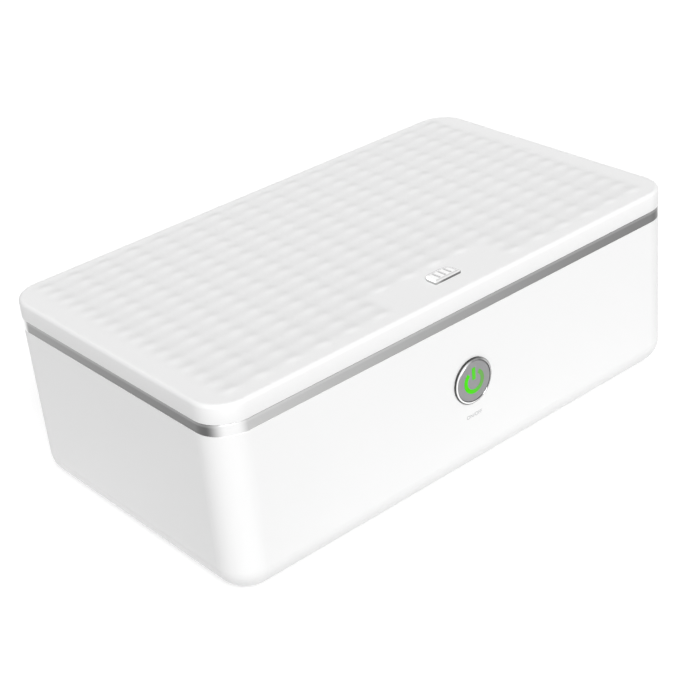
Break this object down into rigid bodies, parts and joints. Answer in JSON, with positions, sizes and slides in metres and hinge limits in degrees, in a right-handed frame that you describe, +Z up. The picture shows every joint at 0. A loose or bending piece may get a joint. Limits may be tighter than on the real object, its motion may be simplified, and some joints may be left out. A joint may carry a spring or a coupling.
{
  "type": "ultraviolet sterilizer box",
  "caption": "Household ultraviolet sterilizer box: a mirror-bright chamber under a hinged quilted lid, with a lit push button, a wire rack and a barrel power inlet.",
  "frame": {"origin": "under the middle of the box, on the surface that its feet stand on", "axes": "+X along the front to the right as seen from in front, +Y from the front with the button to the back with the hinges, +Z up"},
  "size_m": [0.33, 0.1925, 0.1176],
  "materials": {
    "shell_white": "gloss",
    "inner_white": "matte",
    "lamp_carrier_white": "matte",
    "satin_band": "satin",
    "polished_metal": "polished",
    "brushed_cap": "brushed",
    "green_lens": "lit",
    "bright_aluminium": "mirror-bright",
    "quartz": "clear",
    "rubber_grey": "matte",
    "silicone_white": "matte",
    "rack_wire": "bright",
    "steel": "satin",
    "circuit_board": "satin",
    "led": "gloss",
    "black_plastic": "matte",
    "moulded_grey": "matte",
    "brass_pin": "plated",
    "lead_jacket": "matte"
  },
  "bodies": {
    "base": {"outer_body": "shell_white", "bottom_cover": "inner_white", "rubber_feet": "rubber_grey", "bottom_screws": "steel", "trim_band": "satin_band", "deck": "inner_white", "deck_screws": "steel", "seal": "silicone_white", "chamber": "bright_aluminium", "floor_windows": "quartz", "floor_lamp_carriers": "lamp_carrier_white", "floor_lamp_boards": "circuit_board", "floor_leds": "led", "lamp_connectors": "lamp_carrier_white", "lamp_leads": "lead_jacket", "button_bezel": "polished_metal", "bezel_nut": "moulded_grey", "button_guide": "moulded_grey", "tact_switch": "black_plastic", "control_board": "circuit_board", "board_chips": "black_plastic", "board_sockets": "lamp_carrier_white", "icon_leds": "led", "board_screws": "steel", "power_jack": "black_plastic", "jack_pin": "brass_pin", "power_lead": "lead_jacket", "lid_sensor": "circuit_board", "strike_discs": "steel", "hinge_body_leaf_left": "steel", "hinge_body_leaf_right": "steel", "hinge_pin_left": "steel", "hinge_pin_right": "steel", "hinge_screws": "steel"},
    "lid": {"lid_shell": "shell_white", "lid_liner": "inner_white", "lid_reflector": "bright_aluminium", "lid_windows": "quartz", "lid_lamp_carriers": "lamp_carrier_white", "lid_lamp_boards": "circuit_board", "lid_leds": "led", "catch_magnets": "steel", "sensor_magnet": "steel", "lid_screws": "steel", "lid_badge": "polished_metal", "hinge_lid_leaf_left": "steel", "hinge_lid_leaf_right": "steel"},
    "button": {"button_cap": "brushed_cap", "button_icon": "green_lens", "button_stem": "moulded_grey", "button_spring": "steel", "switch_plunger": "moulded_grey"},
    "rack": {"rack": "rack_wire", "rack_tips": "silicone_white"}
  },
  "joints": [
    {"name": "lid_hinge", "type": "hinge", "parent": "base", "child": "lid", "pos_m": [0, 0.0935, 0.1023], "axis": [-1, 0, 0], "range_deg": [0, 100]},
    {"name": "button_press", "type": "slide", "parent": "base", "child": "button", "axis": [0, 1, 0], "range_m": [0, 0.001], "stiffness_N_per_m": 400, "springref_m": -0.002, "deforming": ["button_spring"]},
    {"name": "rack_lift", "type": "slide", "parent": "base", "child": "rack", "axis": [0, 0, 1], "range_m": [0, 0.05]}
  ]
}
